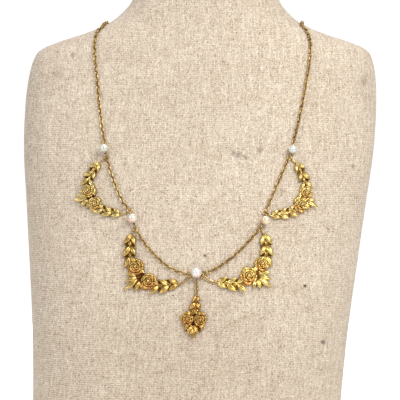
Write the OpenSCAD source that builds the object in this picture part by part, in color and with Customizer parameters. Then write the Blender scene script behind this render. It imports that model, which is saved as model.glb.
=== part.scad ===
// Gold festoon necklace with five pearls, four rose garlands and a rose drop, on a linen neck bust.
// Millimetres. The origin is the middle of the bust's base, +Z is up and the front looks along -Y.
// A place on the front is written [across, height]: across is measured from the bust's centre line.

/* [Bust] */
// Lean of the bust's centre line to the right, in degrees
bust_lean = 2.7; // [0:0.1:4]
// How square the bust's level sections are, where 2 is an ellipse
bust_squareness = 2.3; // [2.1:0.05:2.6]
// Flat sides around the bust
bust_sides = 52; // [40:4:60]
// Bevel around the base and around the top of the neck
bust_bevel = 1; // [0.5:0.5:2]

/* [Chain] */
// Thickness of the gold wire
wire = 0.4; // [0.32:0.02:0.44]
// Length of a chain link, outside
link_l = 3.05; // [3:0.05:3.4]
// Width of a chain link, outside
link_w = 1.95; // [1.9:0.05:2.2]
// Length of the long links that hold the lower garlands, outside
long_link_l = 7; // [6:0.1:8]
// Free space between wires that hold each other
slack = 0.15; // [0.13:0.01:0.16]
// Extra overlap where a link crosses a flat jump ring at half a right angle
turned_slack = 0.17; // [0.16:0.01:0.22]
// Height of the chain's middle line over the linen
chain_lift = 0.95; // [0.95:0.05:1.2]
// Radius of a jump ring's middle line
ring_r = 1.2; // [1.1:0.05:1.3]
// Radius of the middle line of a soldered loop
loop_r = 0.6; // [0.58:0.02:0.7]
// Radius of the middle line of the clasp ring
clasp_r = 2.4; // [2.2:0.1:3]
// Thickness of the clasp ring
clasp_wire = 0.9; // [0.8:0.1:1]

/* [Pearls] */
// Free space between a pearl, its seat and the linen
pearl_gap = 0.12; // [0.1:0.01:0.15]
// Thickness of the seat behind a pearl
seat_t = 0.4; // [0.35:0.05:0.5]
// Radius of the seat behind a pearl
seat_r = 1.2; // [1:0.1:1.4]
// Radius of the peg that goes into a pearl
peg_r = 0.3; // [0.25:0.05:0.35]
// Length of that peg
peg_l = 1.8; // [1.2:0.1:2]

/* [Garlands] */
// Height of the underside of the leaves over the linen
leaf_lift = 0.35; // [0.3:0.05:0.5]
// Thickness of a leaf at its middle rib
leaf_t = 0.9; // [0.8:0.05:1.2]
// Rise of a leaf towards its tip, in degrees
leaf_rise = 6; // [3:1:8]
// Radius of the stems
stem_r = 0.5; // [0.45:0.05:0.6]
// Distance of a stem's end from the middle of its loop
stem_from = 0.8; // [0.7:0.05:0.9]
// Height of the stems' middle line over the linen
stem_lift = 0.8; // [0.75:0.05:0.9]
// Height of a rose over the linen, as a share of its radius
rose_h = 0.72; // [0.6:0.02:0.8]

/* [Hidden] */
$fn = 32;

// Level sections of the bust: height, half width, front, widest place and back, measured along Y
SECTIONS = [
    [0, 79.5, -56, -3, 28],
    [25, 80.4, -57.5, -3, 28],
    [60, 82.4, -57, -3, 28],
    [95, 85.7, -53, -3, 28],
    [125, 88.8, -48, -2, 28],
    [150, 91.4, -42, -1, 28],
    [172, 92, -36.5, 0, 28],
    [188, 91.2, -32, 2, 28.5],
    [199, 89, -29, 4, 30],
    [204, 85.6, -27.5, 5, 31],
    [208, 76.8, -26, 6, 32],
    [212, 64.6, -25, 7, 33.5],
    [217, 52.6, -24, 8, 35],
    [222, 45.6, -23.2, 8, 36],
    [230, 39, -22.5, 8, 37],
    [245, 35.5, -22, 8, 38],
];
bust_h = SECTIONS[len(SECTIONS) - 1][0];
// Heights of the bust's rings of corners: first, step and last of each stretch
RING_STRETCHES = [[19, 18, 181], [187, 6, 199], [201.5, 1.75, 222.5], [226, 6, 238]];
ring_heights = concat(
    [0, bust_bevel],
    [for (s = RING_STRETCHES) for (z = [s[0]:s[1]:s[2]]) z],
    [bust_h - bust_bevel, bust_h]
);

// Pearls: across, height, diameter
PEARLS = [
    [-46.9, 150.3, 4.6],
    [-30.9, 115.4, 4.9],
    [1.8, 88.6, 5.3],
    [34.5, 114.5, 4.5],
    [46.9, 149.8, 4.4],
];
// Loops on the pearls' seats: pearl, heading in degrees, distance of the loop's middle from the pearl's
// edge, and roll about the heading. The first eight each hold a jump ring, which lies flat. The others
// hold the end of a chain or a long link, which is turned by half a right angle.
LOOPS = [
    [0, 284, 0.85, 90],
    [1, 113, 0.8, 90],
    [1, 285, 1.4, 90],
    [2, 183, 0.35, 90],
    [2, 358, 0.35, 90],
    [3, 239, 0.95, 90],
    [3, 90, 0.8, 90],
    [4, 248, 0.45, 90],
    [0, 97, 0.5, -45],
    [4, 88, 0.5, -45],
    [2, 274, 0.35, -45],
    [2, 214, 0.5, -45],
    [2, 331, 0.5, -45],
];
left_end = 8;
right_end = 9;
drop_end = 10;
// Chain festoons: first ring, last ring, sag
FESTOONS = [[0, 1, 3.7], [2, 3, 4.8], [5, 4, 3.1], [7, 6, 0.2]];
// Garlands: loop whose ring holds the upright arm and its heading, loop whose ring or long link holds
// the level arm and its heading, size of the leaves and roses, place of the plan's corner, heading and
// stretch of its level axis and of its upright axis, then the roses on the plan: across, up, radius
GARLANDS = [
    [0, 208, 1, 218, 0.88, [-58.2, 125], [-20.2, 0.905], [69.4, 0.77], [[2.75, 7.5, 4.6], [9, 0.8, 4.4]]],
    [2, 228, 11, 216, 1, [-29.8, 83.1], [0.4, 0.936], [96.7, 0.939], [[2.8, 9.2, 4.5], [9.1, 1.6, 4.4]]],
    [5, 310, 12, 333, 1, [35.9, 84], [180, 0.965], [89.3, 0.9], [[2.1, 10.4, 3.9], [8.7, 3.7, 4.8]]],
    [7, 322, 6, 347, 0.86, [58.1, 122.6], [195.9, 0.86], [109.3, 0.845], [[1.75, 7.8, 4.4], [6.3, 1.9, 4.9]]],
];
// Way of the side chains over the shoulders to the nape: height, then the turn around the bust from its
// front for the left chain and for the right one
CHAIN_WAY = [
    [164, 31.3, 31.3], [175, 32.6, 32.6], [186, 34, 34], [196, 35.8, 35.5], [203, 37.9, 37.1],
    [208, 43.7, 42.2], [212.5, 55.6, 52.3], [215, 63.1, 58.6], [216.8, 76, 68], [217.9, 90, 88],
    [216.4, 112, 112], [213, 134, 134], [209.6, 158, 158], [208.5, 172, 172],
];
nape_z = 208.5;

// A garland's plan, drawn for the left-hand side at its full size, corner at the lower left.
// Leaves: base across, base up, heading, length, width
GARLAND_LEAVES = [
    [1.7, 26.6, 232, 6.6, 2.8], [1.7, 26.6, 284, 6.2, 2.6],
    [0.5, 20.5, 238, 7, 3], [0.5, 20.5, 297, 6, 2.7],
    [0.2, 15, 243, 7, 2.9], [0.2, 15, 305, 5.6, 2.5],
    [24.6, 0.2, 155, 5.8, 2.6], [24.6, 0.2, 211, 5.8, 2.7],
    [19.9, -0.6, 151, 6.2, 2.7], [19.9, -0.6, 217, 6.8, 2.9],
    [14.6, -0.7, 140, 5.6, 2.5], [14.6, -0.7, 218, 6.8, 2.8],
    [3.3, 4.6, 168, 6, 2.4], [3.4, 3.7, 196, 6.8, 2.7], [3.6, 3, 219, 8.9, 2.9],
    [4.3, 2.2, 247, 6.3, 2.6], [5.2, 2, 274, 5.4, 2.3], [3, 8.7, -32, 5.4, 2.4],
];
// Middle line of the stem from the upright arm around the corner to the end of the level arm
GARLAND_STEM = [
    [1.7, 26.4], [0.7, 20.6], [0.4, 15], [1.8, 9.5], [1.7, 4.4], [2.4, 2], [4.6, 0.7], [9, 0],
    [14.6, -0.7], [19.9, -0.7], [24.2, 0],
];
// The drop's plan, from its loop downwards, with the same columns
DROP_LEAVES = [
    [0, -1, 240, 4, 2], [0, -1, 292, 4.2, 2],
    [-0.2, -4.2, 231, 5, 2.6], [-0.2, -4.2, 305, 4.8, 2.5],
    [-1.6, -9.4, 186, 4.8, 2.4], [0.6, -9.6, 352, 4.8, 2.4],
    [-3.6, -14.2, 250, 4.6, 2.4], [2.4, -14.4, 292, 4.4, 2.4],
    [-1.4, -15.6, 237, 5.4, 2.4], [-0.8, -15.6, 299, 5.2, 2.4], [-1.1, -16.2, 268, 6.6, 2.9],
];
DROP_ROSES = [[-4.2, -12.7, 3.4], [2.3, -13, 3.4]];
DROP_STEM = [
    [0, -0.85], [0, -2.6], [-0.2, -5.4], [-0.5, -9], [-4, -11.6], [-4, -13.4], [-1.1, -16.4],
    [2, -13.6], [2, -11.6], [-0.5, -9],
];

// Rows of petals of a rose, sizes as shares of its radius: number, first heading, turn and rise from
// one petal to the next, distance from the middle, length, width, tilt and height of the first
PETALS = [
    [5, 10, 71, 0.021, 0.32, 0.66, 0.86, 8, 0.12],
    [4, 40, 88, 0.024, 0.12, 0.56, 0.72, 30, 0.22],
];

lean = tan(bust_lean);
probe = 0.05;  // small step for measuring slopes

// Cubic curve from a to b with slopes at both ends
function cubic(a, b, slope_a, slope_b, t) =
    a * (1 + t * t * (2 * t - 3)) + b * t * t * (3 - 2 * t)
    + slope_a * t * (1 - t) * (1 - t) - slope_b * t * t * (1 - t);
function slope_of(rows, i, col) =
    let (a = rows[max(i - 1, 0)], b = rows[min(i + 1, len(rows) - 1)])
    (b[col] - a[col]) / (b[0] - a[0]);
function row_of(rows, key, i = 0) =
    i >= len(rows) - 2 || key <= rows[i + 1][0] ? i : row_of(rows, key, i + 1);
function smooth(rows, key, col) =
    let (i = row_of(rows, key), a = rows[i], b = rows[i + 1], h = b[0] - a[0])
    cubic(a[col], b[col], slope_of(rows, i, col) * h, slope_of(rows, i + 1, col) * h, (key - a[0]) / h);

function unit(v) = v / norm(v);
function along(heading) = [cos(heading), sin(heading)];

// Point of the bust's skin at a height and a turn from the front, 90 being the right-hand side
function skin(z, turn, inset = 0) =
    let (
        half = smooth(SECTIONS, z, 1) - inset,
        side = smooth(SECTIONS, z, 3),
        deep = (cos(turn) > 0 ? side - smooth(SECTIONS, z, 2) : smooth(SECTIONS, z, 4) - side) - inset,
        round = pow(pow(abs(cos(turn)), bust_squareness) + pow(abs(sin(turn)), bust_squareness),
                    -1 / bust_squareness)
    )
    [z * lean + half * round * sin(turn), side - deep * round * cos(turn), z];
function skin_normal(z, turn) =
    unit(cross(skin(z, turn + probe) - skin(z, turn - probe), skin(z + probe, turn) - skin(z - probe, turn)));

// Turn around the bust of a place on its front
function turn_at(place) =
    let (q = pow(abs(place[0]) / smooth(SECTIONS, place[1], 1), bust_squareness))
    sign(place[0]) * atan(pow(q / (1 - q), 1 / bust_squareness));
function front(place) = skin(place[1], turn_at(place));
function front_normal(place) = skin_normal(place[1], turn_at(place));
function lifted(place, lift) = front(place) + lift * front_normal(place);
// The place a true distance away along a heading
function walk(place, heading, distance) =
    let (go = along(heading) * probe, stretch = norm(front(place + go) - front(place - go)) / (2 * probe))
    place + along(heading) * distance / stretch;

// Frame with X along a direction and Z near a normal
module framed(origin, direction, normal) {
    x = unit(direction);
    y = unit(cross(normal, x));
    z = cross(x, y);
    multmatrix([
        [x[0], y[0], z[0], origin[0]],
        [x[1], y[1], z[1], origin[1]],
        [x[2], y[2], z[2], origin[2]],
    ]) children();
}

// Frame on the front of the bust with X along a heading and Z out of the linen
module on_front(place, heading, lift = 0) {
    go = along(heading) * probe;
    framed(lifted(place, lift), front(place + go) - front(place - go), front_normal(place)) children();
}

// Bust
module neck_bust() {
    last = len(ring_heights) - 1;
    corners = [
        for (i = [0:last]) for (k = [0:bust_sides - 1])
            skin(ring_heights[i], 360 * k / bust_sides, i == 0 || i == last ? bust_bevel : 0)
    ];
    walls = [
        for (i = [0:last - 1]) for (k = [0:bust_sides - 1])
            let (a = i * bust_sides + k, b = i * bust_sides + (k + 1) % bust_sides)
            [a, a + bust_sides, b + bust_sides, b]
    ];
    base = [for (k = [0:bust_sides - 1]) k];
    top = [for (k = [bust_sides - 1:-1:0]) last * bust_sides + k];
    color([0.87, 0.8, 0.71]) polyhedron(corners, concat(walls, [base], [top]), convexity = 4);
}

// Wire forms, lying in the XY plane of their frame
module wire_ring(r, thickness = wire) {
    rotate_extrude() translate([r, 0]) circle(d = thickness);
}

module oval_link(l) {
    bend = (link_w - wire) / 2;
    straight = l - link_w;
    for (end = [0, 180]) rotate([0, 0, end]) {
        translate([straight / 2, 0, 0]) rotate([0, 0, -90])
            rotate_extrude(angle = 180) translate([bend, 0]) circle(d = wire);
        translate([-straight / 2, bend, 0]) rotate([0, 90, 0]) cylinder(d = wire, h = straight);
    }
}

// Distance from the middle of a wire form to the middle line of its end
link_reach = (link_l - wire) / 2;
long_reach = (long_link_l - wire) / 2;
// Distance between the middles of two wire forms that hold each other
function hold(reach_a, reach_b) = reach_a + reach_b - wire - slack;
pitch = hold(link_reach, link_reach);
ring_hold = hold(ring_r, link_reach) - turned_slack;

// Pearls and their seats
function pearl_place(i) = [PEARLS[i][0], PEARLS[i][1]];
function pearl_r(i) = PEARLS[i][2] / 2;
pearl_lift = pearl_gap + seat_t + pearl_gap;
function loop_out(k) = pearl_r(LOOPS[k][0]) + LOOPS[k][2];
function loop_place(k) = walk(pearl_place(LOOPS[k][0]), LOOPS[k][1], loop_out(k));
function ring_place(k) = walk(pearl_place(LOOPS[k][0]), LOOPS[k][1], loop_out(k) + hold(loop_r, ring_r));

module pearl(i) {
    r = pearl_r(i);
    color([0.96, 0.94, 0.9]) on_front(pearl_place(i), 0, pearl_lift + r) difference() {
        sphere(r);
        translate([0, 0, -r - 1]) cylinder(r = peg_r + pearl_gap, h = peg_l + pearl_gap + 1);
    }
}

bar_share = 0.6;  // radius of the bars between a seat and its loops, as a share of the wire's thickness
module pearl_seat(i) {
    bar_r = bar_share * wire;
    bar_from = seat_r - bar_r;
    bar_lift = pearl_gap + wire / 2 + bar_r / 2;
    color([0.72, 0.57, 0.27]) {
        on_front(pearl_place(i), 0, pearl_gap) {
            cylinder(r = seat_r, h = seat_t);
            cylinder(r = peg_r, h = seat_t + pearl_gap + peg_l);
        }
        for (k = [0:len(LOOPS) - 1]) if (LOOPS[k][0] == i) on_front(pearl_place(i), LOOPS[k][1]) {
            translate([bar_from, 0, bar_lift]) rotate([0, 90, 0])
                cylinder(r = bar_r, h = loop_out(k) - loop_r + bar_r - bar_from);
            translate([loop_out(k), 0, chain_lift]) rotate([LOOPS[k][3], 0, 0]) wire_ring(loop_r);
        }
    }
}

module jump_ring(k) {
    color([0.62, 0.48, 0.22]) on_front(ring_place(k), LOOPS[k][1], chain_lift) wire_ring(ring_r);
}

// Chains: a route is a list of points with the linen's normal at each
function front_route(places) = [for (p = places) [lifted(p, chain_lift), front_normal(p)]];
function run_of(route) = [
    for (i = 0, s = 0; i < len(route);
         i = i + 1, s = s + (i < len(route) ? norm(route[i][0] - route[i - 1][0]) : 0)) s
];
function read_off(route, run, s, part) =
    [for (c = [0:2]) lookup(s, [for (i = [0:len(route) - 1]) [run[i], route[i][part][c]]])];

link_roll = 45;  // turn of a link about the chain's own line, by turns to either side

// Links along a route, from a first distance to a gap before its end
module chain(route, first, last_gap) {
    run = run_of(route);
    span = run[len(run) - 1] - first - last_gap;
    steps = 2 * ceil(span / pitch / 2 - 0.01);  // an even number, so both ends turn the same way
    color([0.6, 0.49, 0.27]) for (i = [0:steps]) {
        s = first + span * i / steps;
        ahead = read_off(route, run, s + link_reach / 2, 0);
        behind = read_off(route, run, s - link_reach / 2, 0);
        framed(read_off(route, run, s, 0), ahead - behind, read_off(route, run, s, 1))
            rotate([i % 2 == 0 ? link_roll : -link_roll, 0, 0]) oval_link(link_l);
    }
}

festoon_steps = 60;
way_steps = 14;  // for each stretch of a side chain's way

module festoon(i) {
    from = ring_place(FESTOONS[i][0]);
    to = ring_place(FESTOONS[i][1]);
    sag = FESTOONS[i][2];
    route = front_route([
        for (t = [0:1 / festoon_steps:1]) from + (to - from) * t - [0, 4 * sag * t * (1 - t)]
    ]);
    chain(route, ring_hold, ring_hold);
}

// Side chain from the outer pearl's upper loop over the shoulder to the clasp
module side_chain(loop, side) {
    start = loop_place(loop);
    way = concat([[start[1], abs(turn_at(start)), abs(turn_at(start))]], CHAIN_WAY, [[nape_z, 180, 180]]);
    rows = [for (i = [0:len(way) - 1]) concat(i, way[i])];
    ends = len(rows) - 1;
    route = [
        for (k = [0:ends * way_steps]) let (
            z = smooth(rows, k / way_steps, 1),
            turn = side * smooth(rows, k / way_steps, side < 0 ? 2 : 3)
        ) [skin(z, turn) + chain_lift * skin_normal(z, turn), skin_normal(z, turn)]
    ];
    chain(route, hold(loop_r, link_reach), clasp_out + hold(loop_r, link_reach));
}

// Clasp at the nape: a plain ring with a soldered loop at each side
clasp_out = clasp_r + clasp_wire / 2 + loop_r;
module clasp() {
    out = skin_normal(nape_z, 180);
    color([0.7, 0.55, 0.26]) framed(skin(nape_z, 180) + chain_lift * out, [-1, 0, 0], out) {
        wire_ring(clasp_r, clasp_wire);
        for (end = [-1, 1]) translate([end * clasp_out, 0, 0]) rotate([end * link_roll, 0, 0])
            wire_ring(loop_r);
    }
}

// Long link between the centre pearl's seat and the level arm of a lower garland
module long_link(i) {
    heading = GARLANDS[i][3];
    middle = walk(loop_place(GARLANDS[i][2]), heading, hold(loop_r, long_reach));
    color([0.68, 0.53, 0.25]) on_front(middle, heading, chain_lift)
        rotate([link_roll, 0, 0]) oval_link(long_link_l);
}

leaf_edge = 0.3;  // thickness at a leaf's edge, as a share of that at its rib
leaf_bow = 0.25;  // rise of its middle, as the same share
leaf_point = 0.85;  // below 1 the widest place lies beyond the middle
// Cast leaf along X from the origin: a pointed oval with a raised middle rib
module leaf(l, w, t, shares = [0.16, 0.44, 0.76]) {
    edge = leaf_edge * t;
    stations = [
        for (s = shares) let (half = w / 2 * sin(180 * pow(s, leaf_point)), bow = leaf_bow * t * sin(180 * s))
            for (p = [[half, bow + edge], [0, bow + t], [-half, bow + edge], [0, bow]]) [s * l, p[0], p[1]]
    ];
    last = 4 * len(shares) - 4;
    tip = last + 4;
    points = concat(stations, [[l, 0, edge], [0, 0, edge]]);
    faces = concat(
        [for (i = [0:4:last - 4]) for (k = [0:3]) let (n = (k + 1) % 4) [i + n, i + k, i + 4 + k, i + 4 + n]],
        [for (k = [0:3]) [last + (k + 1) % 4, last + k, tip]],
        [for (k = [0:3]) [k, (k + 1) % 4, tip + 1]]
    );
    polyhedron(points, faces, convexity = 3);
}

bud = [0.62, 0.16];  // radius of a rose's middle at its foot and at its top, as shares of the rose's
petal_t = 0.24;  // thickness of a petal, as the same share
module rose(r) {
    cylinder(r1 = bud[0] * r, r2 = bud[1] * r, h = rose_h * r, $fn = 6);
    for (p = PETALS) for (k = [0:p[0] - 1])
        rotate([0, 0, p[1] + p[2] * k]) translate([p[4] * r, 0, (p[8] + p[3] * k) * r])
            rotate([0, -p[7], 0]) leaf(p[5] * r, p[6] * r, petal_t * r, [0.28, 0.74]);
}

// Place of a plan's point. map holds the place of the plan's origin and the true directions of its axes
function spot(map, p) = map[0] + p[0] * map[1] + p[1] * map[2];

// One soldered casting: leaves and roses on a plan at their own size, stem and end loops by their places
module casting(leaves, roses, map, size, stem, loops) {
    function heading(a) = let (go = cos(a) * map[1] + sin(a) * map[2]) atan2(go[1], go[0]);
    union() {
        for (v = leaves) let (l = v[3] * size, way = heading(v[2]))
            on_front(spot(map, v) + along(way) * l / 2, way, leaf_lift) rotate([0, -leaf_rise, 0])
                translate([-l / 2, 0, l / 2 * sin(leaf_rise)]) leaf(l, v[4] * size, leaf_t);
        for (v = roses) on_front(spot(map, v), heading(0), leaf_lift) rose(v[2] * size);
        for (i = [0:len(stem) - 2]) hull() {
            on_front(stem[i], 0, stem_lift) sphere(stem_r, $fn = 4);
            on_front(stem[i + 1], 0, stem_lift) sphere(stem_r, $fn = 4);
        }
        for (v = loops) on_front(v[0], v[1], chain_lift) rotate([v[2], 0, 0])
            rotate_extrude($fn = 10) translate([loop_r, 0]) circle(d = wire, $fn = 5);
    }
}

module garland(i) {
    g = GARLANDS[i];
    roll = LOOPS[g[2]][3];
    a = walk(ring_place(g[0]), g[1], hold(ring_r, loop_r));
    b = roll == 90 ? walk(ring_place(g[2]), g[3], hold(ring_r, loop_r))
        : walk(loop_place(g[2]), g[3], 2 * hold(loop_r, long_reach));
    map = [g[5], g[6][1] * along(g[6][0]), g[7][1] * along(g[7][0])];
    middle = [for (p = GARLAND_STEM) spot(map, p)];
    stem = concat([a + stem_from * unit(middle[0] - a)], middle,
                  [b + stem_from * unit(middle[len(middle) - 1] - b)]);
    color([0.8, 0.63, 0.3])
        casting(GARLAND_LEAVES, g[8], map, g[4], stem, [[a, g[1], 90], [b, g[3], roll]]);
}

// Short chain and rose drop under the centre pearl
drop_links = 3;
drop_heading = LOOPS[drop_end][1];
module drop_chain() {
    start = loop_place(drop_end);
    length = 2 * hold(loop_r, link_reach) + (drop_links - 1) * pitch;
    route = front_route([for (t = [0:0.1:1]) walk(start, drop_heading, t * length)]);
    chain(route, hold(loop_r, link_reach), hold(loop_r, link_reach));
}

module rose_drop() {
    top = walk(loop_place(drop_end), drop_heading, 2 * hold(loop_r, link_reach) + (drop_links - 1) * pitch);
    map = [top, [1, 0], [0, 1]];
    color([0.72, 0.53, 0.24])
        casting(DROP_LEAVES, DROP_ROSES, map, 1, [for (p = DROP_STEM) spot(map, p)],
                [[top, drop_heading, -link_roll]]);
}

neck_bust();
pearl(0);  // pearl_upper_left
pearl(1);  // pearl_lower_left
pearl(2);  // pearl_centre
pearl(3);  // pearl_lower_right
pearl(4);  // pearl_upper_right
pearl_seat(0);  // seat_upper_left
pearl_seat(1);  // seat_lower_left
pearl_seat(2);  // seat_centre
pearl_seat(3);  // seat_lower_right
pearl_seat(4);  // seat_upper_right
jump_ring(0);  // ring_upper_left
jump_ring(1);  // ring_left_above
jump_ring(2);  // ring_left_below
jump_ring(3);  // ring_centre_left
jump_ring(4);  // ring_centre_right
jump_ring(5);  // ring_right_below
jump_ring(6);  // ring_right_above
jump_ring(7);  // ring_upper_right
festoon(0);  // festoon_upper_left
festoon(1);  // festoon_lower_left
festoon(2);  // festoon_lower_right
festoon(3);  // festoon_upper_right
long_link(1);  // long_link_left
long_link(2);  // long_link_right
garland(0);  // garland_upper_left
garland(1);  // garland_lower_left
garland(2);  // garland_lower_right
garland(3);  // garland_upper_right
drop_chain();
rose_drop();
side_chain(left_end, -1);  // chain_left
side_chain(right_end, 1);  // chain_right
clasp();
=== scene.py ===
import math
import random

import bmesh
import bpy
import numpy as np
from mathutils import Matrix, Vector
from mathutils.bvhtree import BVHTree


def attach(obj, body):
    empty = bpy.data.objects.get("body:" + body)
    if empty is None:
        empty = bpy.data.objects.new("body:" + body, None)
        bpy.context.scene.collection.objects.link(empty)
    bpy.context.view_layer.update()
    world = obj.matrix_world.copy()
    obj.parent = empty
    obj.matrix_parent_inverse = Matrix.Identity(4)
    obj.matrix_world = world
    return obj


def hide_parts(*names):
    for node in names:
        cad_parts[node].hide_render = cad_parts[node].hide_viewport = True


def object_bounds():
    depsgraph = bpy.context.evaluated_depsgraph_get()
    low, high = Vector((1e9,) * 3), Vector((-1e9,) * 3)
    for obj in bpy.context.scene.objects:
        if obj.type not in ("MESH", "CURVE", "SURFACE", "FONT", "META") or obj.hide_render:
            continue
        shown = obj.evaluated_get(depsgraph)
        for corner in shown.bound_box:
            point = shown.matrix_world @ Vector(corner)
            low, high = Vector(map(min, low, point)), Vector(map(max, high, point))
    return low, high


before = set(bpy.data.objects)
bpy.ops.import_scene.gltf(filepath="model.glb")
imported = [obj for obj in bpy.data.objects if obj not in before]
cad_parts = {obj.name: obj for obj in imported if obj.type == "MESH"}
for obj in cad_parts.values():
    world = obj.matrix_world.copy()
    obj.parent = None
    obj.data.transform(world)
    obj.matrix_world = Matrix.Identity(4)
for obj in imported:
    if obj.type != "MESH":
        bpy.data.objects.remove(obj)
cadLow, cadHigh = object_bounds()
print("frame loaded:", len(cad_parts), "nodes")

mm = 0.001
random.seed(7)


# Shader maths
class Wire:  # an output in a node tree; sums and products on it add Math nodes
    def __init__(self, tree, socket=None):
        self.tree = tree
        self.socket = socket

    def node(self, kind, settings=None, sockets=None, output=0):
        made = self.tree.nodes.new(kind)
        for name, value in (settings or {}).items():
            setattr(made, name, value)
        for name, value in (sockets or {}).items():
            if isinstance(value, Wire):
                self.tree.links.new(value.socket, made.inputs[name])
            else:
                made.inputs[name].default_value = value
        return Wire(self.tree, made.outputs[output])

    def maths(self, operation, *values):
        return self.node("ShaderNodeMath", {"operation": operation}, dict(enumerate(values)))

    def __add__(self, other):
        return self.maths("ADD", self, other)

    def __sub__(self, other):
        return self.maths("SUBTRACT", self, other)

    def __rsub__(self, other):
        return self.maths("SUBTRACT", other, self)

    def __mul__(self, other):
        return self.maths("MULTIPLY", self, other)

    def __truediv__(self, other):
        return self.maths("DIVIDE", self, other)

    def __pow__(self, other):
        return self.maths("POWER", self, other)

    __radd__ = __add__
    __rmul__ = __mul__

    def top(self, other):
        return self.maths("MAXIMUM", self, other)

    def sine(self):
        return self.maths("SINE", self)

    def floor(self):
        return self.maths("FLOOR", self)

    def span(self, low, high):  # 0 at low and 1 at high, held outside
        return self.node("ShaderNodeMapRange", {"interpolation_type": "SMOOTHSTEP"},
                         {"Value": self, "From Min": low, "From Max": high})

    def blend(self, colourA, colourB):  # this value is the share of the second colour
        return self.node("ShaderNodeMix", {"data_type": "RGBA"}, {0: self, 6: colourA, 7: colourB}, 2)

    def parts(self):
        made = self.node("ShaderNodeSeparateXYZ", None, {0: self})
        return [Wire(self.tree, out) for out in made.socket.node.outputs]

    def vector(self, x, y, z=0.0):
        return self.node("ShaderNodeCombineXYZ", None, {0: x, 1: y, 2: z})

    def noise(self, place, scale, detail=2.0, roughness=0.5):
        return self.node("ShaderNodeTexNoise", None,
                         {"Vector": place, "Scale": scale, "Detail": detail, "Roughness": roughness})

    def objectPlace(self):
        return self.node("ShaderNodeTexCoord", None, None, 3)

    def layer(self, name, output=2):  # a value kept at the points, or a vector with output 1
        return self.node("ShaderNodeAttribute", {"attribute_name": name}, None, output)

    def bump(self, strength, distance, height):  # distance in mm
        return self.node("ShaderNodeBump", None,
                         {"Strength": strength, "Distance": distance * mm, "Height": height})


def rgb(*parts):  # a colour as seen on screen, 0 to 255, made linear
    shares = [part / 255 for part in parts]
    return (*[share / 12.92 if share < 0.04045 else ((share + 0.055) / 1.055) ** 2.4 for share in shares], 1)


def newMaterial(name):  # the material, its root wire and its main shader
    material = bpy.data.materials.new(name)
    material.use_nodes = True
    shader = material.node_tree.nodes["Principled BSDF"]
    return material, Wire(material.node_tree), shader


def feed(shader, values):  # values or wires by the names of the shader's sockets
    for name, value in values.items():
        if isinstance(value, Wire):
            value.tree.links.new(value.socket, shader.inputs[name])
        else:
            shader.inputs[name].default_value = value


# Bust
bust = {
    "sections": [  # height, half width, front, widest place and back, measured along Y, in mm
        (0, 79.5, -56, -3, 28), (25, 80.4, -57.5, -3, 28), (60, 82.4, -57, -3, 28),
        (95, 85.7, -53, -3, 28), (125, 88.8, -48, -2, 28), (150, 91.4, -42, -1, 28),
        (172, 92, -36.5, 0, 28), (188, 91.2, -32, 2, 28.5), (199, 89, -29, 4, 30),
        (204, 85.6, -27.5, 5, 31), (208, 76.8, -26, 6, 32), (212, 64.6, -25, 7, 33.5),
        (217, 52.6, -24, 8, 35), (222, 45.6, -23.2, 8, 36), (230, 39, -22.5, 8, 37),
        (245, 35.5, -22, 8, 38),
    ],
    "lean": math.tan(math.radians(2.7)),
    "squareness": 2.3,  # 2 is an ellipse
    "around": 208,
    "up": 200,
    "bevelTurns": (30, 60),  # rings of the bevel, in degrees
    "bevel": 2.0,
}
nudge = 0.05  # mm over the front, to measure how it runs


def cubic(a, b, slopeA, slopeB, t):  # from a at t 0 to b at t 1, with these slopes there
    return (a * (1 + t * t * (2 * t - 3)) + b * t * t * (3 - 2 * t)
            + slopeA * t * (1 - t) ** 2 - slopeB * t * t * (1 - t))


def section(z):  # half width, front, widest place and back at a height
    rows = bust["sections"]
    i = 0
    while i < len(rows) - 2 and z > rows[i + 1][0]:
        i += 1
    gap = rows[i + 1][0] - rows[i][0]

    def slope(k, column):
        before, after = rows[max(k - 1, 0)], rows[min(k + 1, len(rows) - 1)]
        return (after[column] - before[column]) / (after[0] - before[0]) * gap
    t = (z - rows[i][0]) / gap
    return [cubic(rows[i][c], rows[i + 1][c], slope(i, c), slope(i + 1, c), t) for c in range(1, 5)]


def skin(z, turn, inset=0.0):  # a point of the linen, in mm, at a turn in degrees from the front
    half, front, side, back = section(z)
    s, c = math.sin(math.radians(turn)), math.cos(math.radians(turn))
    power = bust["squareness"]
    rounding = (abs(c) ** power + abs(s) ** power) ** (-1 / power)
    deep = (side - front if c > 0 else back - side) - inset
    return Vector((z * bust["lean"] + (half - inset) * rounding * s, side - deep * rounding * c, z))


def skinNormal(z, turn):
    aside = skin(z, turn + nudge) - skin(z, turn - nudge)
    up = skin(z + nudge, turn) - skin(z - nudge, turn)
    return aside.cross(up).normalized()


def turnAt(place):  # the turn that shows at a place, from across and height in mm
    power = bust["squareness"]
    share = (abs(place[0]) / section(place[1])[0]) ** power
    turn = math.degrees(math.atan((share / (1 - share)) ** (1 / power)))
    return math.copysign(turn, place[0])


def onFront(place, lift=0.0):  # a point over the front, from across and height in mm
    turn = turnAt(place)
    return skin(place[1], turn) + lift * skinNormal(place[1], turn)


def unitAt(heading):
    return (math.cos(math.radians(heading)), math.sin(math.radians(heading)))


def stride(place, heading):  # how the front runs under two nudges along a heading
    go = np.array(unitAt(heading)) * nudge
    return onFront(np.add(place, go)) - onFront(np.subtract(place, go))


def walk(place, heading, distance):  # the place that far away over the front
    stretch = stride(place, heading).length / (2 * nudge)
    return tuple(np.add(place, np.array(unitAt(heading)) * distance / stretch))


class Spot:  # a place on the front with x along a heading and z out of the linen
    def __init__(self, place, heading, lift=0.0):
        self.z = skinNormal(place[1], turnAt(place))
        self.y = self.z.cross(stride(place, heading).normalized()).normalized()
        self.x = self.y.cross(self.z)
        self.origin = onFront(place, lift)

    def at(self, points):  # points in this frame, n by 3
        axes = np.array([self.x, self.y, self.z])
        return np.array(self.origin) + np.asarray(points) @ axes


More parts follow.
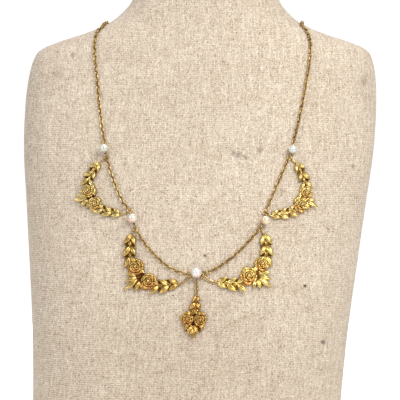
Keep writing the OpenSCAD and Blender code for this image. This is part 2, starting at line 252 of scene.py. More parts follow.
def newPiece(name, points, faces, material, node):  # points in mm
    mesh = bpy.data.meshes.new(name)
    mesh.from_pydata((np.asarray(points) * mm).tolist(), [], faces)
    mesh.validate()
    mesh.materials.append(material)
    mesh.polygons.foreach_set("use_smooth", [True] * len(mesh.polygons))
    piece = bpy.data.objects.new(name, mesh)
    bpy.context.scene.collection.objects.link(piece)
    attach(piece, "root")
    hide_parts(node)
    return piece


linen = {
    "warpPitch": 0.86,  # mm
    "weftPitch": 1.05,
    "stray": (0.9, 0.7),  # how far warp and weft threads wander, in threads
    "shares": {"warp": 0.54, "weft": 0.34, "grain": 0.44, "weave": 0.24, "cloud": 0.12, "fleck": 0.34},
    "shift": -0.008,  # of the whole tone
    "dark": (148, 123, 96),
    "pale": (252, 241, 223),
    "pinker": (1.0, 0.94, 0.93, 1),
    "stainsAndShade": [  # across and height in mm, radius, strength, 1 for brown or 0 for grey; stains, and a few broad patches of painted shade
        (20.1, 147.9, 3, 0.5, 0.15), (17.3, 148.4, 2.4, 0.38, 0.15), (23.7, 146.6, 2.4, 0.36, 0.2),
        (31, 150.2, 2.8, 0.46, 0.2), (22.5, 150.4, 2, 0.26, 0.3), (-4.4, 153.1, 2.2, 0.32, 0.2),
        (5.7, 97.4, 1.5, 0.75, 0.1), (56.5, 82, 1.5, 0.97, 0), (51.5, 80, 2.4, 0.28, 1.4),
        (67.3, 53.5, 2, 0.7, 0.1), (-66.9, 199.5, 2.4, 0.34, 0.5), (79.3, 142.4, 2, 0.55, 1),
        (-19, 142, 1.6, 0.45, 0.3), (84, 186, 5, 0.3, 0.8), (86, 178, 4, 0.22, 0.9),
        # the four patches of radius 60 mm and more are painted shade: darker towards the bottom, on the upper
        # left and a little in the middle
        (-74, 190, 5, 0.22, 0.6), (-36.1, 143.1, 1.5, 0.35, 0.3), (-27, 42, 64, 0.12, 0.7),
        (24, 42, 64, 0.12, 0.7), (-16, 184, 62, 0.07, 0.7), (4, 130, 60, 0.03, 0.7),
    ],
    "raggedness": 6,  # mm, the most that a stain's edge strays
}


# darkens the linen with its stains and with the broad patches of painted shade
def stainedAndShaded(start, place, shade):
    x, y, z = place.parts()
    for across, height, radius, strength, brown in linen["stainsAndShade"]:
        spot = onFront((across, height)) * mm
        ragged = (start.noise(place, 600, 2) - 0.5) * min(radius, linen["raggedness"]) * mm
        away = (((x - spot.x) ** 2.0 + (z - spot.z) ** 2.0) ** 0.5) + ragged
        inside = 1 - away.span(0.1 * radius * mm, 0.95 * radius * mm)
        mask = inside * y.maths("LESS_THAN", y, 0.0) * strength
        shade = mask.blend(shade, rgb(62 + 70 * brown, 54 + 46 * brown, 54 + 6 * brown))
    return shade


def linenMaterial():
    material, start, shader = newMaterial("linen")
    u, v, _ = start.layer("threads", 1).parts()
    place = start.objectPlace()
    wobble = start.noise(place, 90, 1)
    u = u / linen["warpPitch"] + wobble * linen["stray"][0]
    v = v / linen["weftPitch"] + wobble * linen["stray"][1]
    column, row = u.floor(), v.floor()
    over = (column + row).maths("MODULO", column + row, 2.0)  # 1 where the warp lies on top
    acrossWarp = ((u - column) * math.pi).sine()
    acrossWeft = ((v - row) * math.pi).sine()
    weave = over * acrossWarp * (acrossWeft * 0.45 + 0.55)
    weave = weave + (1 - over) * acrossWeft * (acrossWarp * 0.45 + 0.55)
    warpTone = start.noise(start.vector(column * 3.71, v * 0.11, 1.0), 1.0, 2, 0.6)
    weftTone = start.noise(start.vector(u * 0.14, row * 3.71, 7.0), 1.0, 2, 0.6)
    grain = start.node("ShaderNodeTexWhiteNoise", {"noise_dimensions": "2D"},
                       {"Vector": start.vector((u * 2.3).floor(), (v * 2.1).floor())})
    cloud = start.noise(place, 34, 3)
    fleck = start.noise(place, 950, 1).span(0.64, 0.72)
    share = linen["shares"]
    tone = (warpTone - 0.5) * share["warp"] + (weftTone - 0.5) * share["weft"]
    # the weave's share is painted light and shade: lighter on the threads' crowns, darker in the gaps between
    # them
    tone = tone + (grain - 0.5) * share["grain"] + (weave - 0.6) * share["weave"]
    tone = tone + (cloud - 0.5) * share["cloud"] - fleck * share["fleck"] + linen["shift"]
    shade = (tone + 0.5).blend(rgb(*linen["dark"]), rgb(*linen["pale"]))
    pinker = start.node("ShaderNodeMix", {"data_type": "RGBA", "blend_type": "MULTIPLY"},
                        {0: 1.0, 6: shade, 7: linen["pinker"]}, 2)
    shade = (start.noise(place, 150, 2).span(0.5, 0.7) * 0.4).blend(shade, pinker)
    feed(shader, {"Base Color": stainedAndShaded(start, place, shade), "Roughness": 0.92, "Specular IOR Level": 0.18,
                  "Sheen Weight": 0.12, "Sheen Roughness": 0.5,
                  "Normal": start.bump(0.4, 0.2, weave + warpTone * 0.5 + weftTone * 0.5)})
    return material


def makeBust():
    count = bust["around"]
    top = bust["sections"][-1][0]
    bevel = bust["bevel"]
    turns = [math.radians(turn) for turn in bust["bevelTurns"]]
    rows = [(0, bevel)]  # height and inset of each ring
    rows += [(bevel * (1 - math.cos(turn)), bevel * (1 - math.sin(turn))) for turn in turns]
    steps = bust["up"]
    rows += [(bevel + (top - 2 * bevel) * i / steps, 0.0) for i in range(steps + 1)]
    for turn in (*reversed(turns), 0.0):
        rows.append((top - bevel + bevel * math.cos(turn), bevel * (1 - math.sin(turn))))
    points, faces, threads = [], [], []
    climb = 0.0
    for i, (z, inset) in enumerate(rows):
        ring = [skin(z, 360 * k / count, inset) for k in range(count)]
        if i:
            climb += (ring[0] - Vector(points[-count])).length
        run = [0.0]
        for k in range(count):
            run.append(run[-1] + (ring[(k + 1) % count] - ring[k]).length)
        points += ring
        threads.append((run, climb))
    for i in range(len(rows) - 1):
        for k in range(count):
            a = i * count + k
            b = i * count + (k + 1) % count
            faces.append((a, b, b + count, a + count))
    sides = len(faces)
    for first, turned in ((0, True), ((len(rows) - 1) * count, False)):  # base and top
        middle = len(points)
        points.append(sum((Vector(p) for p in points[first:first + count]), Vector()) / count)
        for k in range(count):
            a, b = first + k, first + (k + 1) % count
            faces.append((b, a, middle) if turned else (a, b, middle))
    piece = newPiece("neck_bust_linen", points, faces, linenMaterial(), "neck_bust")
    layer = piece.data.uv_layers.new(name="threads")  # mm round the bust from the front, and mm up it
    for polygon in piece.data.polygons:
        column = polygon.index % count
        for loop in polygon.loop_indices:
            corner = piece.data.loops[loop].vertex_index
            if polygon.index >= sides:
                layer.data[loop].uv = points[corner][:2]
                continue
            i, k = divmod(corner, count)
            run, climb = threads[i]
            if column == count - 1 and k == 0:  # the far side of the last column
                k = count
            layer.data[loop].uv = (run[k] - (run[count] if column >= count // 2 else 0), climb)


makeBust()
print("bust made")


# Where things hang
necklace = {  # mm
    "wire": 0.4,
    "slack": 0.15,  # free play of a link in its neighbour
    "linkLength": 3.05,
    "longLinkLength": 7.0,
    "chainLift": 0.95,
    "ringRadius": 1.2,
    "loopRadius": 0.6,
    "loopSteps": 24,
    "loopSides": 8,
    "loopTone": 0.4,
    "pearlLift": 0.64,
    "pearls": {  # across, height and diameter
        "upper_left": (-46.9, 150.3, 4.6), "lower_left": (-30.9, 115.4, 4.9), "centre": (1.8, 88.6, 5.3),
        "lower_right": (34.5, 114.5, 4.5), "upper_right": (46.9, 149.8, 4.4),
    },
}


def hold(reachA, reachB):  # from the middle of one ring or link to the next
    return reachA + reachB - necklace["wire"] - necklace["slack"]


def linkReach(length):  # from a link's middle to the middle of its wire
    return (necklace[length] - necklace["wire"]) / 2


def loopPlace(pearl, heading, beyond, ringed=False):  # a seat's loop, or the jump ring that it holds
    across, height, diameter = necklace["pearls"][pearl]
    reach = diameter / 2 + beyond + (hold(necklace["loopRadius"], necklace["ringRadius"]) if ringed else 0)
    return walk((across, height), heading, reach)


def tubeFaces(count, sides, closed=False):  # over rings of points, with two flat ends or closed on itself
    faces = []
    for i in range(count if closed else count - 1):
        j = (i + 1) % count
        for k in range(sides):
            n = (k + 1) % sides
            faces.append((i * sides + k, i * sides + n, j * sides + n, j * sides + k))
    if not closed:
        faces.append(tuple(range(sides - 1, -1, -1)))
        faces.append(tuple((count - 1) * sides + k for k in range(sides)))
    return faces


class Shells:  # closed shells gathered into one mesh, each point with a tone and a rosiness
    def __init__(self):
        self.points, self.faces, self.tone, self.rosy = [], [], [], []
        self.count = 0

    def add(self, points, faces, tone, rosy=0.0):
        points = np.asarray(points).reshape(-1, 3)
        self.faces += [tuple(self.count + corner for corner in face) for face in faces]
        self.points.append(points)
        self.tone += [tone] * len(points)
        self.rosy += [rosy] * len(points)
        self.count += len(points)

    def between(self, spot, over, under, tone, rosy=0.0):  # closed between two grids of points
        rows, columns = over.shape[:2]
        whole = rows * columns
        faces = []
        for i in range(rows - 1):
            for k in range(columns - 1):
                a = i * columns + k
                faces.append((a, a + columns, a + columns + 1, a + 1))
                faces.append((whole + a, whole + a + 1, whole + a + columns + 1, whole + a + columns))
        edge = list(range(columns))
        edge += [i * columns + columns - 1 for i in range(1, rows)]
        edge += [(rows - 1) * columns + k for k in range(columns - 2, -1, -1)]
        edge += [i * columns for i in range(rows - 2, 0, -1)]
        for a, b in zip(edge, edge[1:] + edge[:1]):
            faces.append((a, b, whole + b, whole + a))
        self.add(spot.at(np.concatenate([over.reshape(-1, 3), under.reshape(-1, 3)])), faces, tone, rosy)

    def tube(self, path, radii, sides, tone, closed=False):
        path = [Vector(p) for p in path]
        count = len(path)
        points = []
        guide = None
        for i, p in enumerate(path):
            before = path[i - 1] if closed or i else p
            after = path[(i + 1) % count] if closed or i < count - 1 else p
            ahead = (after - before).normalized()
            if guide is None:
                guide = ahead.orthogonal()
            guide = (guide - guide.dot(ahead) * ahead).normalized()
            aside = ahead.cross(guide)
            for k in range(sides):
                angle = 2 * math.pi * k / sides
                points.append(p + radii[i] * (guide * math.cos(angle) + aside * math.sin(angle)))
        self.add([tuple(p) for p in points], tubeFaces(count, sides, closed), tone)

    def piece(self, name, node, slot, material):
        mesh = newPiece(name, np.concatenate(self.points), self.faces, material, node).data
        for layer, values in (("tone", self.tone), ("rosy", self.rosy), ("recess", recesses(mesh))):
            keep(mesh, layer, values)


def keep(mesh, layer, values):  # a value for each point, for the material to read
    mesh.attributes.new(layer, "FLOAT", "POINT").data.foreach_set("value", values)


def recesses(mesh, reach=2.2, rays=26):  # how closed in each point is, by rays that reach so many mm
    tree = BVHTree.FromPolygons([v.co for v in mesh.vertices], [p.vertices for p in mesh.polygons])
    spread = []
    for k in range(rays):  # an even spiral over a half sphere
        rise = (k + 0.5) / rays
        turn = k * 2.39996  # the golden angle
        flat = math.sqrt(1 - rise * rise)
        spread.append((flat * math.cos(turn), flat * math.sin(turn), rise))
    found = []
    for vertex in mesh.vertices:
        up = vertex.normal
        aside = up.orthogonal().normalized()
        across = up.cross(aside)
        start = vertex.co + up * 0.02 * mm
        hits = 0.0
        for x, y, z in spread:
            distance = tree.ray_cast(start, aside * x + across * y + up * z, reach * mm)[3]
            if distance is not None:
                hits += 1 - 0.6 * distance / (reach * mm)
        found.append(hits / rays)
    return found


leafShape = {  # mm and degrees; groove and bend are shares of thickness and length
    "lift": 0.35,
    "thickness": 1.05,
    "rise": (5.0, 14.0),
    "roll": 13.0,
    "groove": 0.26,
    "bend": 0.05,
    "tip": (-0.1, 0.35),  # how far it rises, in thicknesses
    "wider": 1.04,
    "along": [0, 0.05, 0.12, 0.2, 0.3, 0.4, 0.5, 0.6, 0.7, 0.79, 0.87, 0.94, 1.0],
    "aside": [-1, -0.82, -0.58, -0.34, -0.14, 0, 0.14, 0.34, 0.58, 0.82, 1],
    "behind": {"lower": 0.1, "thinner": 0.6, "rise": 5.0},  # for a leaf that lies behind
}


def addLeaf(shells, place, heading, length, width, tone=0.0):  # from its foot; below tone 0 it lies behind and the gold takes its darker colour, as painted shade
    behind = leafShape["behind"] if tone < 0 else None
    way = unitAt(heading)
    width = width * leafShape["wider"]
    middle = (place[0] + way[0] * length / 2, place[1] + way[1] * length / 2)
    spot = Spot(middle, heading, leafShape["lift"] - (behind["lower"] if behind else 0))
    thick = leafShape["thickness"] * (behind["thinner"] if behind else 1)
    s = np.array(leafShape["along"])[:, None]
    t = np.array(leafShape["aside"])[None, :]
    half = np.maximum(width / 2 * np.sin(np.pi * s ** 0.85), 0.09)
    plump = np.sin(np.pi * np.clip(s, 0.02, 0.985)) ** 0.6
    bend = random.uniform(-1, 1) * leafShape["bend"] * length
    tip = random.uniform(*leafShape["tip"]) * thick
    bow = 0.25 * thick * np.sin(np.pi * s) + tip * s ** 3
    groove = leafShape["groove"] * np.exp(-(t / 0.15) ** 2)
    veins = 0.05 * np.sin(2 * np.pi * (5.0 * s - 1.6 * np.abs(t))) * np.abs(t) * (1 - np.abs(t)) * 3
    over = bow + thick * (0.2 + plump * (0.74 * (1 - np.abs(t) ** 2.6) - groove + veins))
    x = s * length - length / 2 + 0 * t
    y = half * t + bend * (s ** 2 - 0.4)
    rise = math.radians(behind["rise"] if behind else random.uniform(*leafShape["rise"]))
    roll = math.radians(0.0 if behind else random.uniform(-1, 1) * leafShape["roll"])
    foot = length / 2 * math.sin(rise)

    def raised(z):
        z = z + 0 * t
        side = y * math.cos(roll) - z * math.sin(roll)
        z = foot + y * math.sin(roll) + z * math.cos(roll)
        ahead = x * math.cos(rise) - z * math.sin(rise)
        return np.stack([ahead, side, x * math.sin(rise) + z * math.cos(rise)], 2)
    shells.between(spot, raised(over), raised(bow - 0.02 * thick), tone if behind else random.uniform(0, 1))


roseShape = {
    "rings": [  # petals, first heading, turn, half spread, then in radii: inner, outer, foot and height
        (5, 10, 71, 41, 0.42, 1.02, 0.02, 0.38),
        (4, 40, 88, 53, 0.2, 0.74, 0.22, 0.38),
        (3, 75, 119, 72, 0.1, 0.42, 0.42, 0.32),
    ],
    "turned": [  # tone, then height and radius of each ring of the cup and of the bud, in radii; the cup's tone of -1 colours it darker under the petals, as painted shade
        (-1.0, [(-0.04, 0.6), (0.04, 0.82), (0.14, 0.74), (0.27, 0.5), (0.44, 0.3), (0.5, 0.05)]),
        (1.0, [(0.45, 0.15), (0.62, 0.2), (0.74, 0.17), (0.81, 0.1), (0.84, 0.03)]),
    ],
    "turnedSides": 18,
    "stray": (-6, 6),  # degrees
    "grow": (0.93, 1.05),
    "tone": (0.3, 1),
    "rosyWay": 262,  # heading of the side where the gold is rosier
}


def addRose(shells, place, heading, radius):
    spot = Spot(place, heading, leafShape["lift"])
    a = np.linspace(-1, 1, 15)[:, None]  # along a petal
    b = np.linspace(0, 1, 11)[None, :]  # from its inner to its outer edge
    for count, first, turn, spread, inner, outer, foot, height in roseShape["rings"]:
        for k in range(count):
            middle = first + turn * k + random.uniform(*roseShape["stray"])
            grow = random.uniform(*roseShape["grow"])
            lip = inner + (outer * grow - inner) * (1 - 0.34 * np.abs(a) ** 2.6) + 0.05 * a
            out = inner + (lip - inner) * b
            crest = np.sin(np.pi * np.clip(b, 0.03, 0.985) ** 1.7) ** 0.55
            fold = 0.03 * np.sin(7 * a + middle) * b
            up = foot + height * grow * crest * (1 - 0.34 * np.abs(a) ** 3) - 0.05 * a + fold
            angle = np.radians(middle + a * spread + 0 * b)
            over = np.stack([radius * out * np.cos(angle), radius * out * np.sin(angle), radius * up], 2)
            over = over.transpose(1, 0, 2)
            under = over * np.array((1, 1, 0)) + np.array((0, 0, (foot - 0.08) * radius))
            rosy = max(0.0, math.cos(math.radians(heading + middle - roseShape["rosyWay"])))
            rosy *= 0.9 if foot < 0.3 else 0.2  # mostly on the outer petals
            shells.between(spot, over, under, random.uniform(*roseShape["tone"]), rosy)
    sides = roseShape["turnedSides"]
    for tone, rings in roseShape["turned"]:
        points = []
        for height, reach in rings:
            for k in range(sides):
                way = unitAt(360 / sides * k)
                points.append((radius * reach * way[0], radius * reach * way[1], radius * height))
        shells.add(spot.at(points), tubeFaces(len(rings), sides), tone, 0.2)


stemShape = {"lift": 0.8, "radius": 0.5, "sides": 10, "steps": 5, "tone": 0.3}


def addStem(shells, places):  # a stem through places, a little uneven in width
    path, radii = [], []
    steps = stemShape["steps"]
    last = len(places) - 1
    for i in range(last):
        before, start, end, after = (np.array(places[min(max(i + k, 0), last)]) for k in (-1, 0, 1, 2))
        for k in range(steps if i < last - 1 else steps + 1):
            place = cubic(start, end, (end - before) / 2, (after - start) / 2, k / steps)
            path.append(tuple(onFront(place, stemShape["lift"])))
            radii.append(stemShape["radius"] * (0.82 + 0.16 * math.sin(len(path) * 1.7)))
    shells.tube(path, radii, stemShape["sides"], stemShape["tone"])


def addLoop(shells, place, heading, roll):
    spot = Spot(place, heading, necklace["chainLift"])
    count = necklace["loopSteps"]
    radii = [necklace["wire"] / 2] * count
    tilt = math.radians(roll)
    ring = []
    for angle in np.linspace(0, 2 * math.pi, count, endpoint=False):
        ahead, aside = necklace["loopRadius"] * math.cos(angle), necklace["loopRadius"] * math.sin(angle)
        ring.append((ahead, aside * math.cos(tilt), aside * math.sin(tilt)))
    shells.tube(spot.at(ring).tolist(), radii, necklace["loopSides"], necklace["loopTone"], closed=True)


def addCasting(shells, plan, roses, origin, axes, size, stem, loops):  # origin and axes of its plan
    def onPlan(across, height):
        return tuple(origin + across * axes[0] + height * axes[1])

    def heading(angle):
        way = unitAt(angle)[0] * axes[0] + unitAt(angle)[1] * axes[1]
        return math.degrees(math.atan2(way[1], way[0]))
    for across, height, angle, length, width, *tone in plan["leaves"] + plan["under"]:
        addLeaf(shells, onPlan(across, height), heading(angle), length * size, width * size, *tone)
    for across, height, radius in roses:
        addRose(shells, onPlan(across, height), heading(0), radius * size)
    addStem(shells, stem)
    for place, angle, roll in loops:
        addLoop(shells, place, angle, roll)


# Garlands
garland = {
    "leaves": [  # across and height of the foot, heading, length, width
        (1.7, 26.6, 232, 6.6, 2.8), (1.7, 26.6, 284, 6.2, 2.6), (0.5, 20.5, 238, 7, 3),
        (0.5, 20.5, 297, 6, 2.7), (0.2, 15, 243, 7, 2.9), (0.2, 15, 305, 5.6, 2.5),
        (24.6, 0.2, 155, 5.8, 2.6), (24.6, 0.2, 211, 5.8, 2.7), (19.9, -0.6, 151, 6.2, 2.7),
        (19.9, -0.6, 217, 6.8, 2.9), (14.6, -0.7, 140, 5.6, 2.5), (14.6, -0.7, 218, 6.8, 2.8),
        (3.3, 4.6, 168, 6, 2.4), (3.4, 3.7, 196, 6.8, 2.7), (3.6, 3, 219, 8.9, 2.9),
        (4.3, 2.2, 247, 6.3, 2.6), (5.2, 2, 274, 5.4, 2.3), (3, 8.7, -32, 5.4, 2.4),
    ],
    "under": [  # leaves that lie behind these, and their tone, which below 0 colours them darker as painted shade in the gaps
        (1.4, 25.6, 258, 6, 2.8, -0.3), (1.3, 24.4, 226, 5, 2.4, -2), (1.2, 24.2, 292, 4.6, 2.4, -2),
        (0.7, 21.6, 232, 5, 2.4, -2), (0.6, 21.6, 302, 4.6, 2.4, -2), (0.4, 19.6, 267, 6, 2.8, -0.3),
        (0.4, 18.4, 230, 5, 2.4, -2), (0.3, 18.4, 304, 4.6, 2.4, -2), (0.3, 15.8, 234, 5, 2.4, -2),
        (0.3, 14.2, 268, 5, 2.8, -0.3), (23.6, 0, 181, 6, 2.8, -0.3), (22.6, 0, 146, 4.4, 2.4, -2),
        (22.4, -0.2, 214, 4.8, 2.4, -2), (20.6, -0.4, 144, 4.4, 2.4, -2), (20.6, -0.6, 220, 4.8, 2.4, -2),
        (19.2, -0.7, 180, 6, 2.8, -0.3), (17.6, -0.8, 140, 4.4, 2.4, -2), (17.4, -0.8, 222, 4.8, 2.4, -2),
        (15.2, -0.8, 136, 4.4, 2.4, -2), (14, -0.7, 180, 5, 2.8, -0.3), (4.6, 4.2, 208, 6.4, 2.6, -2),
        (7, 7.4, 228, 5.8, 3.2, -2.5), (6.4, 5.6, 206, 5, 3, -2.5), (5.2, 6.4, 208, 4.4, 2.4, -0.6),
        (4.8, 3.8, 236, 6.6, 2.6, -2), (2.6, 5.2, 182, 4.6, 2.2, -2), (5.4, 2.6, 260, 5, 2.2, -2),
    ],
    "stem": [(1.7, 26.4), (0.7, 20.6), (0.4, 15), (1.8, 9.5), (1.7, 4.4), (2.4, 2), (4.6, 0.7), (9, 0),
             (14.6, -0.7), (19.9, -0.7), (24.2, 0)],
    "stemFrom": 0.8,  # mm from the middle of a loop
    "hung": {  # two ends: pearl, loop heading, beyond the pearl, on a ring, heading and roll of its own loop;
        # then size, corner, level and upright axis as heading and stretch, and roses as across, up, radius
        "garland_upper_left": (
            ("upper_left", 284, 0.85, True, 208, 90), ("lower_left", 113, 0.8, True, 218, 90),
            0.88, (-58.2, 125), (-20.2, 0.905), (69.4, 0.77), [(2.75, 7.5, 4.6), (9, 0.8, 4.4)]),
        "garland_lower_left": (
            ("lower_left", 285, 1.4, True, 228, 90), ("centre", 214, 0.5, False, 216, -45),
            1.0, (-29.8, 83.1), (0.4, 0.936), (96.7, 0.939), [(2.8, 9.2, 4.5), (9.1, 1.6, 4.4)]),
        "garland_lower_right": (
            ("lower_right", 239, 0.95, True, 310, 90), ("centre", 331, 0.5, False, 333, -45),
            1.0, (35.9, 84), (180, 0.965), (89.3, 0.9), [(2.1, 10.4, 3.9), (8.7, 3.7, 4.8)]),
        "garland_upper_right": (
            ("upper_right", 248, 0.45, True, 322, 90), ("lower_right", 90, 0.8, True, 347, 90),
            0.86, (58.1, 122.6), (195.9, 0.86), (109.3, 0.845), [(1.75, 7.8, 4.4), (6.3, 1.9, 4.9)]),
    },
}


def toward(place, other, distance):  # from one place so many mm to another
    way = np.subtract(other, place)
    return np.array(place) + way * distance / np.linalg.norm(way)


def makeGarland(name, material):
    endA, endB, size, corner, level, upright, roses = garland["hung"][name]
    loops = []
    for pearl, loopHeading, beyond, ringed, heading, roll in (endA, endB):
        if ringed:
            reach = hold(necklace["ringRadius"], necklace["loopRadius"])
        else:
            reach = 2 * hold(necklace["loopRadius"], linkReach("longLinkLength"))
        loops.append((walk(loopPlace(pearl, loopHeading, beyond, ringed), heading, reach), heading, roll))
    corner = np.array(corner)
    axes = [stretch * np.array(unitAt(angle)) for angle, stretch in (level, upright)]
    stem = [corner + x * axes[0] + y * axes[1] for x, y in garland["stem"]]
    stem = [toward(loops[0][0], stem[0], garland["stemFrom"])] + stem
    stem.append(toward(loops[1][0], stem[-1], garland["stemFrom"]))
    shells = Shells()
    addCasting(shells, garland, roses, corner, axes, size, stem, loops)
    shells.piece(name + "_casting", name, "garland_gold", material)


# Rose drop
drop = {  # places from its own loop down
    "loop": ("centre", 274, 0.35),  # pearl, heading and beyond the pearl
    "roll": -45,
    "links": 3,
    "leaves": [
        (0, -1, 240, 4, 2), (0, -1, 292, 4.2, 2), (-0.2, -4.2, 231, 5, 2.6), (-0.2, -4.2, 305, 4.8, 2.5),
        (-1.6, -9.4, 186, 4.8, 2.4), (0.6, -9.6, 352, 4.8, 2.4), (-3.6, -14.2, 250, 4.6, 2.4),
        (2.4, -14.4, 292, 4.4, 2.4), (-1.4, -15.6, 237, 5.4, 2.4), (-0.8, -15.6, 299, 5.2, 2.4),
        (-1.1, -16.2, 268, 6.6, 2.9),
    ],
    # leaves that lie behind, and their tone, which below 0 colours them darker as painted shade in the gaps
    "under": [
        (-0.1, -2.4, 262, 4.4, 2.6, -1), (-0.4, -6.8, 250, 4.4, 2.4, -1), (-0.4, -6.8, 290, 4.4, 2.4, -1),
        (-1.2, -14.6, 262, 5, 3.0, -2), (-1.6, -15.4, 226, 4.6, 2.2, -2), (-0.4, -15.4, 312, 4.6, 2.2, -2),
        (-0.8, -8.8, 270, 6.4, 3.6, -2.5), (1.2, -9.4, 300, 4.6, 2.8, -2.5),
    ],
    "roses": [(-4.2, -12.7, 3.4), (2.3, -13, 3.4)],
    "stem": [(0, -0.85), (0, -2.6), (-0.2, -5.4), (-0.5, -9), (-4, -11.6), (-4, -13.4), (-1.1, -16.4),
             (2, -13.6), (2, -11.6), (-0.5, -9)],
}


def makeDrop(material):
    pearl, heading, beyond = drop["loop"]
    link = linkReach("linkLength")
    reach = 2 * hold(necklace["loopRadius"], link) + (drop["links"] - 1) * hold(link, link)
    top = walk(loopPlace(pearl, heading, beyond), heading, reach)
    shells = Shells()
    stem = [np.add(top, p) for p in drop["stem"]]
    loops = [(top, heading, drop["roll"])]
    addCasting(shells, drop, drop["roses"], np.array(top), np.eye(2), 1.0, stem, loops)
    shells.piece("rose_drop_casting", "rose_drop", "drop_gold", material)


def goldMaterial(name, deep, middle, pale, rose):
    material, start, shader = newMaterial(name)
    place = start.objectPlace()
    tarnish = start.noise(place, 900, 3)
    fine = start.noise(place, 3200, 2)
    tone = start.layer("tone")
    # the hollows that the rays find, and what lies behind with tone below 0, take the deep colour: painted
    # shade, partly patina
    closed = (start.layer("recess") + (1 - tone) * 0.14 + (tarnish - 0.5) * 0.15).span(0.39, 0.78)
    shade = (tone * 0.5 + (tarnish - 0.5) * 0.7 + 0.25).blend(middle, pale)
    shade = (start.layer("rosy") * (tarnish * 0.8 + 0.3)).blend(shade, rose)
    feed(shader, {"Base Color": closed.blend(shade, deep), "Metallic": 1 - closed * 0.1,
                  "Roughness": closed * 0.24 + fine * 0.14 + 0.22,
                  "Normal": start.bump(0.35, 0.05, fine + tarnish)})
    return material


gold = {  # recesses (painted shade, partly patina), body, bright parts and rosy parts of each casting
    # the castings on the left have darker colours than those on the right: painted shade on the left, painted
    # light on the right
    "garland_upper_left": ((84, 50, 8), (186, 156, 88), (232, 210, 146), (202, 156, 88)),
    "garland_lower_left": ((80, 44, 8), (176, 138, 70), (220, 190, 120), (200, 132, 76)),
    "garland_lower_right": ((90, 54, 10), (200, 168, 88), (234, 210, 138), (220, 148, 82)),
    "garland_upper_right": ((92, 58, 12), (196, 163, 94), (230, 208, 142), (212, 158, 92)),
    "rose_drop": ((70, 38, 6), (172, 132, 66), (220, 182, 112), (182, 132, 68)),
}
for name, shades in gold.items():
    finish = goldMaterial("worn gold with painted shade " + name, *[rgb(*shade) for shade in shades])
    if name in garland["hung"]:
        makeGarland(name, finish)
    else:
        makeDrop(finish)
print("garlands and drop made")


# Chains, rings and seats
chain = {
    "fuller": 0.07,  # mm, because worn and soldered links look fuller than their wire
    "kept": 0.3,  # share of the links' triangles
    "weld": 0.001,  # mm
    "reach": 1.2,  # mm, of the rays that find recesses
    "rays": 8,
    "swagGold": ((64, 38, 8), (172, 142, 90), (222, 192, 132)),  # recesses with painted shade, dull and bright patches
    "sideGold": ((54, 32, 6), (156, 122, 70), (212, 180, 116)),
}


def chainMaterial(name, deep, middle, pale):
    material, start, shader = newMaterial(name)
    place = start.objectPlace()
    fine = start.noise(place, 2600, 2)
    # the deep colour in the recesses that the rays find, where links meet and in their openings, is painted
    # shade
    closed = (start.layer("recess") + (fine - 0.5) * 0.6).span(0.14, 0.44)
    shade = start.noise(place, 420, 2).span(0.4, 0.6).blend(rgb(*middle), rgb(*pale))
    feed(shader, {"Base Color": (closed * 0.95).blend(shade, rgb(*deep)), "Metallic": 1 - closed * 0.1,
                  "Roughness": fine * 0.16 + closed * 0.2 + 0.24, "Normal": start.bump(0.3, 0.03, fine)})
    return material


def thinner(mesh, kept):  # the same mesh with a share of its triangles
    holder = bpy.data.objects.new("thinner", mesh)
    bpy.context.scene.collection.objects.link(holder)
    holder.modifiers.new("decimate", "DECIMATE").ratio = kept
    result = bpy.data.meshes.new_from_object(holder.evaluated_get(bpy.context.evaluated_depsgraph_get()))
    bpy.data.objects.remove(holder)
    return result


def makeFuller(node, material):  # a wire node again, with fuller wire and its recesses
    shape = bmesh.new()
    shape.from_mesh(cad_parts[node].data)
    bmesh.ops.remove_doubles(shape, verts=shape.verts, dist=chain["weld"] * mm)
    welded = bpy.data.meshes.new("welded")
    shape.to_mesh(welded)
    shape.clear()
    shape.from_mesh(thinner(welded, chain["kept"]))
    bmesh.ops.recalc_face_normals(shape, faces=shape.faces)
    shape.normal_update()
    moves = [vertex.normal * chain["fuller"] * mm for vertex in shape.verts]
    for vertex, move in zip(shape.verts, moves):
        vertex.co += move
    points = [tuple(vertex.co / mm) for vertex in shape.verts]
    faces = [[vertex.index for vertex in face.verts] for face in shape.faces]
    shape.free()
    mesh = newPiece(node + "_wire", points, faces, material, node).data
    keep(mesh, "recess", recesses(mesh, chain["reach"], chain["rays"]))


def dress(node, material):  # gives a carried-over node its finish
    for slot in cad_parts[node].material_slots:
        slot.material = material


swagGold = chainMaterial("dull swag gold", *chain["swagGold"])
sideGold = chainMaterial("dull chain gold", *chain["sideGold"])
for node in sorted(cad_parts):
    if node.startswith(("festoon_", "long_link_", "ring_", "seat_", "drop_chain")):
        makeFuller(node, swagGold)
    if node.startswith(("chain_", "clasp")):
        makeFuller(node, sideGold)


# Pearls
pearlTintsAndShade = {  # body, underside, which is painted shade tinted with the pearl's own colour, and the way that the underside faces, in the plane of the front
    "upper_left": (rgb(226, 228, 214), rgb(196, 190, 168), (0.3, -1.0)),
    "lower_left": (rgb(236, 228, 216), rgb(226, 184, 156), (-0.7, -0.7)),
    "centre": (rgb(240, 236, 230), rgb(214, 190, 182), (0.1, -1.0)),
    "lower_right": (rgb(240, 226, 200), rgb(226, 186, 140), (-0.9, -0.4)),
    "upper_right": (rgb(230, 232, 230), rgb(196, 196, 190), (0.2, -1.0)),
}


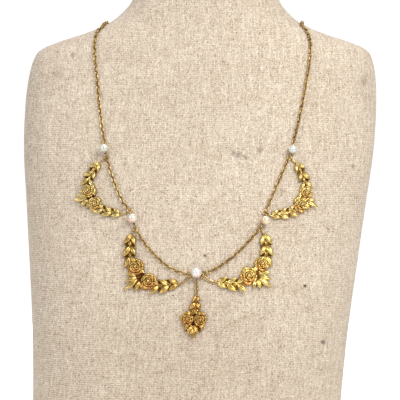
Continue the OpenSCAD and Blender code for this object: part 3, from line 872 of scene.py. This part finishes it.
def pearlMaterial(name):
    body, under, way = pearlTintsAndShade[name]
    across, height, diameter = necklace["pearls"][name]
    middle = onFront((across, height), necklace["pearlLift"] + diameter / 2) * mm
    material, start, shader = newMaterial("pearl " + name.replace("_", " "))
    place = start.objectPlace()
    x, _, z = place.parts()
    length = math.hypot(*way) * diameter / 2 * mm
    aside = (x - middle.x) * (way[0] / length) + (z - middle.z) * (way[1] / length)
    cloud = start.noise(place, 500, 2)
    # the underside colour is painted shade, blended in across the pearl
    shade = (aside + (cloud - 0.5) * 0.5).span(-0.1, 0.95).blend(body, under)
    feed(shader, {"Base Color": shade, "Metallic": 0.42, "Roughness": cloud * 0.1 + 0.14, "Coat Weight": 0.6,
                  "Coat Roughness": 0.1, "Coat IOR": 1.6, "Normal": start.bump(0.2, 0.04, cloud)})
    return material


for name in pearlTintsAndShade:
    dress("pearl_" + name, pearlMaterial(name))
print("chains and pearls dressed")


# Camera, light and floor
studio = {
    "cameraPlace": (0.0078, -0.945, 0.125),
    "lens": 162.0,
    "sensor": 36.0,
    "clipStart": 0.01,
    "aim": (0.01, -0.03, 0.12),
    "lamps": [  # name, place, size, power, colour
        ("key", (0.5, -0.75, 0.72), 0.6, 7.6, (1.0, 0.985, 0.96)),
        ("fill", (-0.8, -0.75, 0.5), 0.4, 3.2, (0.98, 0.985, 1.0)),
        ("top", (0.0, 0.1, 1.2), 0.7, 3.0, (1.0, 1.0, 1.0)),
    ],
    "floorRadius": 0.9,
    "floorSides": 96,
}


def makeStudio():
    camera = bpy.data.objects.new("camera", bpy.data.cameras.new("camera"))
    camera.data.lens = studio["lens"]
    camera.data.sensor_width = studio["sensor"]
    camera.location = studio["cameraPlace"]
    camera.rotation_euler = (math.radians(90), 0, 0)
    camera.data.clip_start = studio["clipStart"]
    bpy.context.scene.collection.objects.link(camera)
    bpy.context.scene.camera = camera
    bpy.context.scene.view_settings.view_transform = "Standard"

    for name, place, size, power, colour in studio["lamps"]:
        lamp = bpy.data.lights.new(name, "AREA")
        lamp.shape = "DISK"
        lamp.size = size
        lamp.energy = power
        lamp.color = colour
        light = bpy.data.objects.new(name, lamp)
        light.location = place
        aim = Vector(studio["aim"]) - Vector(place)
        light.rotation_euler = aim.to_track_quat("-Z", "Y").to_euler()
        bpy.context.scene.collection.objects.link(light)

    world = bpy.data.worlds.new("tent")
    world.use_nodes = True
    bpy.context.scene.world = world
    sky = Wire(world.node_tree)
    x, y, z = sky.node("ShaderNodeTexCoord", None, None, 0).parts()
    height = z.span(-0.35, 0.5)
    besideFront = x.maths("ABSOLUTE", x).span(0.14, 0.3)
    aboveFront = z.maths("ABSOLUTE", z).span(0.48, 0.64)
    behind = y.span(-0.3, -0.1)
    bright = besideFront.top(aboveFront).top(behind)  # all but a dim patch in front, which the gold mirrors
    glow = (height * 0.46 + 0.06) * (bright * 0.75 + 0.25)
    seen = sky.node("ShaderNodeLightPath", None, None, 0)  # 1 where the camera sees the tent
    feed(world.node_tree.nodes["Background"],
         {"Color": (1, 1, 1, 1), "Strength": seen * (1.06 - glow) + glow})


def makeFloor():
    material, start, shader = newMaterial("pale floor")
    away = start.objectPlace().parts()[1].span(0.06, 0.3)  # behind the bust the floor glows white
    feed(shader, {"Base Color": (0.93, 0.93, 0.93, 1), "Roughness": 0.85,
                  "Emission Color": away.blend((0, 0, 0, 1), (1, 1, 1, 1)), "Emission Strength": 0.75})
    count = studio["floorSides"]
    radius = studio["floorRadius"]
    ring = [(radius * math.cos(2 * math.pi * k / count), radius * math.sin(2 * math.pi * k / count), 0)
            for k in range(count)]
    mesh = bpy.data.meshes.new("floor")
    mesh.from_pydata(ring, [], [tuple(range(count))])
    mesh.materials.append(material)
    floor = bpy.data.objects.new("floor", mesh)
    floor.location.z = cadLow[2]
    bpy.context.scene.collection.objects.link(floor)


makeStudio()
makeFloor()
print("studio made")
